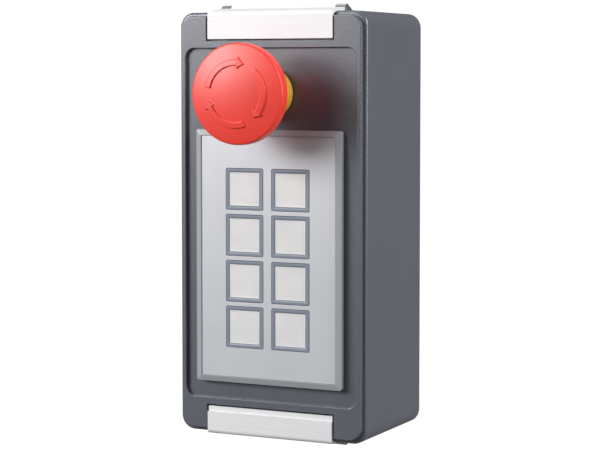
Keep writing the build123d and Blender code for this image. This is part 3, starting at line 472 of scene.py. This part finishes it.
def turn_arrow(centre, front, radius, tail):
    """A raised clockwise arrow on the crown: a strip spun about the button's axis, then thickened."""
    x, z = centre
    sweep, barb, tip = 86, 3, 15          # degrees: the strip, the barbs swept back, the point
    sunk, proud = 0.4, 0.9                # the arrow's underside and top, from the crown
    deselect()
    bpy.ops.mesh.primitive_plane_add(size=MM, location=(x, -front * MM, z))
    piece = bpy.context.object
    bpy.ops.object.transform_apply(location=True, rotation=False, scale=False)
    edit(piece)
    bpy.ops.mesh.select_mode(type="VERT")
    bpy.ops.mesh.select_all(action="SELECT")
    bpy.ops.mesh.merge(type="CENTER")
    start = math.radians(tail)
    here = Vector((x, -front * MM, z))
    ends = [
        Vector((
            x + ring * MM * math.cos(start),
            -(crown_height(ring, front, radius) - sunk) * MM,
            z + ring * MM * math.sin(start),
        ))
        for ring in (ARROW_INNER, ARROW_OUTER)
    ]
    bpy.ops.transform.translate(value=ends[0] - here)
    bpy.ops.mesh.extrude_vertices_move(TRANSFORM_OT_translate={"value": ends[1] - ends[0]})
    bpy.ops.mesh.select_all(action="SELECT")
    bpy.ops.mesh.spin(steps=22, angle=math.radians(-sweep), center=(x, 0, z), axis=(0, 1, 0))
    middle = (ARROW_INNER + ARROW_OUTER) / 2
    bpy.ops.mesh.spin(steps=1, angle=math.radians(barb), center=(x, 0, z), axis=(0, 1, 0))
    at = start - math.radians(sweep - barb)
    pivot = (x + middle * MM * math.cos(at), ends[0].y, z + middle * MM * math.sin(at))
    bpy.ops.transform.resize(value=(1.9, 1, 1.9), center_override=pivot)
    bpy.ops.mesh.spin(steps=1, angle=math.radians(-tip), center=(x, 0, z), axis=(0, 1, 0))
    bpy.ops.mesh.merge(type="CENTER")
    bpy.ops.mesh.select_all(action="SELECT")
    bpy.ops.mesh.normals_make_consistent(inside=False)
    bpy.ops.mesh.extrude_region_move(TRANSFORM_OT_translate={"value": (0, -(sunk + proud) * MM, 0)})
    leave()
    settle(piece, "arrow", 60)
    ease(piece, 0.6, 3, 40)
    return piece


def mushroom_head():
    low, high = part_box("stop_head")
    centre = ((low.x + high.x) / 2, (low.z + high.z) / 2)
    radius = (high.x - low.x) / 2 / MM
    front = -low.y / MM
    back = front - HEAD_DEPTH
    neck_rear = -high.y / MM
    profile = mushroom_profile(front, back, radius)
    neck = NECK_RADIUS
    profile += [
        (neck + 3.4, back + 3.4), (neck + 1.2, back + 2.6), (neck, back + 0.8),
        (neck, neck_rear + 0.4), (neck - 0.4, neck_rear), (neck - 1.8, neck_rear),
        (neck - 2.0, neck_rear + 0.3), (neck - 2.0, back - 6.8),
        (6.1, back - 6.8), (6.1, back + 0.1), (0.6, back + 0.1),
    ]
    head = turned(centre, profile)
    settle(head, "mushroom_head", 30)
    first = turn_arrow(centre, front, radius, 169)
    axis = (centre[0], 0, centre[1])
    arrows = [first]
    for turn in (120, 240):
        arrows.append(copied(first, "arrow"))
        bpy.ops.transform.rotate(value=math.radians(turn), orient_axis="Y", center_override=axis)
        bpy.ops.object.transform_apply(location=True, rotation=True, scale=True)
    for arrow in arrows:
        union = head.modifiers.new("arrow", "BOOLEAN")
        union.operation = "UNION"
        union.solver = "EXACT"
        union.object = arrow
        apply(head, union)
        bpy.data.objects.remove(arrow)
    settle(head, "mushroom_head", 30)
    stand_for(head, "stop_head")


# ---------------------------------------------------------------- collar behind the head
def collar():
    low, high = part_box("stop_collar")
    centre = ((low.x + high.x) / 2, (low.z + high.z) / 2)
    rear, front = -high.y / MM, -low.y / MM
    radius = (high.x - low.x) / 2 / MM
    bore, hole, floor = 13.2, 11.15, 3.0
    profile = [
        (radius, rear), (radius, rear + 2.2), (radius - 0.35, rear + 2.6), (radius - 0.35, rear + 3.1),
        (radius, rear + 3.5), (radius, front - 1.4), (radius - 0.2, front - 0.7),
        (radius - 0.6, front - 0.2), (radius - 1.2, front), (bore + 0.5, front),
        (bore + 0.1, front - 0.3), (bore, front - 0.9), (bore, rear + floor), (hole, rear + floor),
        (hole, rear),
    ]
    ring = turned(centre, profile, closed=True)
    settle(ring, "yellow_collar", 30)
    stand_for(ring, "stop_collar")


# ---------------------------------------------------------------- key panel
def block(low, high):
    """A block between two corners, in metres."""
    deselect()
    bpy.ops.mesh.primitive_cube_add(size=1, location=(low + high) / 2, scale=high - low)
    piece = bpy.context.object
    bpy.ops.object.transform_apply(location=True, rotation=True, scale=True)
    return piece


def pick_faces(piece, side):
    """In edit mode, selects only the faces that look to one side along Y: FRONT or REAR."""
    bpy.ops.mesh.select_mode(type="FACE")
    bpy.ops.mesh.select_all(action="DESELECT")
    mesh = bmesh.from_edit_mesh(piece.data)
    mesh.normal_update()
    for face in mesh.faces:
        if face.normal.y * side > 0.9:
            face.select_set(True)
    bmesh.update_edit_mesh(piece.data)


def round_corners(piece, radius, segments, least=0.99, away=0.0):
    """Rounds the edges that run from front to back, or slope by at least a share of their length.

    Only edges at least away (in metres, along X) from the middle are rounded.
    """
    edit(piece)
    mesh = bmesh.from_edit_mesh(piece.data)
    middle = sum((vertex.co for vertex in mesh.verts), Vector()) / len(mesh.verts)
    for edge in mesh.edges:
        first, last = edge.verts[0].co, edge.verts[1].co
        along = (first - last).normalized()
        far = abs((first.x + last.x) / 2 - middle.x) >= away
        edge.select_set(far and abs(along.y) > least)
    bmesh.update_edit_mesh(piece.data)
    bpy.ops.mesh.bevel(offset=radius * MM, segments=segments, affect="EDGES")
    leave()


def move_to_key(number):
    """Moves the copy that is selected from the first key's place to another key's place."""
    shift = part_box(f"key_frame_{number}")[0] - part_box("key_frame_1")[0]
    bpy.ops.transform.translate(value=shift)
    bpy.ops.object.transform_apply(location=True, rotation=True, scale=True)


def cut_keys(piece):
    """Openings for the eight keys, with a little play around each key."""
    low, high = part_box("key_frame_1")
    reach = KEY_PLAY - KEY_FLANGE
    margin = Vector((reach, 10, reach)) * MM
    first = block(low - margin, high + margin)
    round_corners(first, 0.9, 3)
    cutters = [first]
    for number in range(2, 9):
        cutters.append(copied(first, "key_cutter"))
        move_to_key(number)
    deselect()
    for cutter in cutters:
        cutter.select_set(True)
    bpy.context.view_layer.objects.active = cutters[0]
    bpy.ops.object.join()
    openings = piece.modifiers.new("key openings", "BOOLEAN")
    openings.operation = "DIFFERENCE"
    openings.solver = "EXACT"
    openings.object = cutters[0]
    apply(piece, openings)
    bpy.data.objects.remove(cutters[0])


def bezel():
    """A block with a sloping edge, a thin rim, and a pocket for the foil."""
    low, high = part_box("panel_bezel")
    foil_low, foil_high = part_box("panel_foil")
    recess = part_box("panel_gasket")[1].y
    side, slope, gap = 4.5 * MM, 3.2 * MM, 0.1 * MM
    piece = block(Vector((low.x, recess - side, low.z)), Vector((high.x, recess, high.z)))
    edit(piece)
    pick_faces(piece, FRONT)
    bpy.ops.mesh.inset(thickness=slope, depth=0)
    bpy.ops.transform.translate(value=(0, low.y - (recess - side), 0))
    rim = foil_low.x - low.x - slope - gap
    bpy.ops.mesh.inset(thickness=rim, depth=0)
    bpy.ops.mesh.inset(thickness=0.02 * MM, depth=-(foil_high.y - low.y))
    leave()
    round_corners(piece, 1.2, 5, least=0.2, away=(high.x - low.x) / 2 - slope)
    cut_keys(piece)
    ease(piece, 0.25, 3, 18)
    settle(piece, "bezel")
    stand_for(piece, "panel_bezel")


def foil():
    low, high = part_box("panel_foil")
    piece = block(low, high)
    cut_keys(piece)
    ease(piece, 0.1, 2)
    settle(piece, "silver_foil")
    stand_for(piece, "panel_foil")


def key_border():
    """A key: a rounded frame around a pocket for its window, on a flange with a stem behind it."""
    outer_slope, crest, inner_slope = 0.95, 0.5, 0.75
    lip_drop, flange_thickness, stem_half = 0.35, 0.9, 3.0
    flange_below_foil = 2.95
    low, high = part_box("key_frame_1")
    pocket_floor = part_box("key_window_1")[1].y
    flange = Vector((KEY_FLANGE, 0, KEY_FLANGE)) * MM
    flange_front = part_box("panel_foil")[1].y + flange_below_foil * MM
    piece = block(low + flange, Vector((high.x, flange_front, high.z)) - flange)
    edit(piece)
    pick_faces(piece, FRONT)
    bpy.ops.mesh.inset(thickness=outer_slope * MM, depth=0)
    bpy.ops.mesh.inset(thickness=crest * MM, depth=0)
    bpy.ops.mesh.inset(thickness=inner_slope * MM, depth=-lip_drop * MM)
    bpy.ops.mesh.inset(thickness=0.05 * MM, depth=lip_drop * MM - (pocket_floor - low.y))
    pick_faces(piece, REAR)
    bpy.ops.mesh.extrude_region_move()
    middle = (low + high) / 2
    wide = (high.x - low.x) / (high.x - low.x - 2 * flange.x)   # flange against the frame
    bpy.ops.transform.resize(value=(wide, 1, wide), center_override=(middle.x, flange_front, middle.z))
    bpy.ops.mesh.extrude_region_move(TRANSFORM_OT_translate={"value": (0, flange_thickness * MM, 0)})
    bpy.ops.mesh.inset(thickness=(high.x - low.x) / 2 - stem_half * MM, depth=0)
    stem = high.y - flange_front - flange_thickness * MM
    bpy.ops.mesh.extrude_region_move(TRANSFORM_OT_translate={"value": (0, stem, 0)})
    leave()
    round_corners(piece, 0.5, 3, away=stem_half * MM)
    ease(piece, 0.25, 3, 20)
    settle(piece, "key_border_1", 40)
    return piece


def key_pane():
    """A window pressed into its key: a block with a slightly raised, rounded face."""
    low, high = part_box("key_window_1")
    pane = block(low, high)
    edit(pane)
    pick_faces(pane, FRONT)
    bpy.ops.mesh.inset(thickness=0.6 * MM, depth=0)
    bpy.ops.mesh.inset(thickness=0.4 * MM, depth=-0.2 * MM)
    leave()
    ease(pane, 0.15, 3)
    settle(pane, "key_pane_1")
    return pane


def eight_keys():
    """One key and its window, and seven copies of them."""
    border, pane = key_border(), key_pane()
    keys = [(border, pane)]
    for number in range(2, 9):
        next_border = copied(border, f"key_border_{number}")
        move_to_key(number)
        next_pane = copied(pane, f"key_pane_{number}")
        move_to_key(number)
        keys.append((next_border, next_pane))
    for number, (each_border, each_pane) in enumerate(keys, 1):
        stand_for(each_border, f"key_frame_{number}")
        stand_for(each_pane, f"key_window_{number}")


# ---------------------------------------------------------------- the rest of the object
mushroom_head()
collar()
bezel()
foil()
eased_edges = {
    "top_end_cover": 0.35, "bottom_end_cover": 0.35, "top_hinge_rail": 0.2, "bottom_hinge_rail": 0.2,
    "stop_holder": 0.3, "panel_clamps": 0.3,
    "contact_housing_left": 0.3, "contact_housing_right": 0.3,
    "key_switches": 0.3, "network_sockets": 0.25, "terminal_blocks": 0.3,
    "lid_screws": 0.35, "rail_screws": 0.3, "earth_screw": 0.25, "clamp_screws": 0.2,
    "hinge_pins": 0.2, "enclosure_lid": 0.3,
}
for node, width in eased_edges.items():
    softened(node, width)
eight_keys()


# ---------------------------------------------------------------- camera and light
def add_camera():
    camera = bpy.data.cameras.new("camera")
    camera.lens = 112.44
    camera.sensor_width = 36
    camera.shift_y = -0.06
    camera.clip_start, camera.clip_end = 0.05, 50
    holder = bpy.data.objects.new("camera", camera)
    bpy.context.scene.collection.objects.link(holder)
    holder.location = (0.5126, -1.0963, 0.0928)
    holder.rotation_euler = (math.radians(90 - 3.56), 0, math.radians(25.983))
    bpy.context.scene.camera = holder


def add_light(name, place, aim, size, power, colour=(1, 1, 1)):
    light = bpy.data.lights.new(name, "AREA")
    light.shape = "RECTANGLE"
    light.size, light.size_y = size
    light.energy = power
    light.color = colour
    holder = bpy.data.objects.new(name, light)
    bpy.context.scene.collection.objects.link(holder)
    holder.location = place
    holder.rotation_euler = (Vector(aim) - Vector(place)).to_track_quat("-Z", "Y").to_euler()


def light_the_room():
    """White surroundings, two soft lights from the upper left, one from the right, one from above."""
    world = bpy.data.worlds.new("studio")
    bpy.context.scene.world = world
    world.use_nodes = True
    tree = world.node_tree
    background = tree.nodes["Background"]
    background.inputs["Color"].default_value = (1, 1, 1, 1)
    seen = tree.nodes.new("ShaderNodeLightPath").outputs["Is Camera Ray"]
    tree.links.new(spread(tree, seen, 0.18, 1.05), background.inputs["Strength"])
    add_light("key", (-1.45, -1.6, 0.72), (0, 0, 0), (1.0, 1.0), 36)
    add_light("card", (-0.55, -1.15, 0.5), (0, 0, 0.05), (0.7, 0.5), 5)
    add_light("side", (1.9, -0.06, 0.8), (0, 0, 0), (1.0, 1.6), 44)
    add_light("above", (-0.3, 0.4, 1.8), (0, 0, 0), (1.0, 1.0), 10)


add_camera()
light_the_room()
bpy.context.scene.view_settings.view_transform = "Standard"
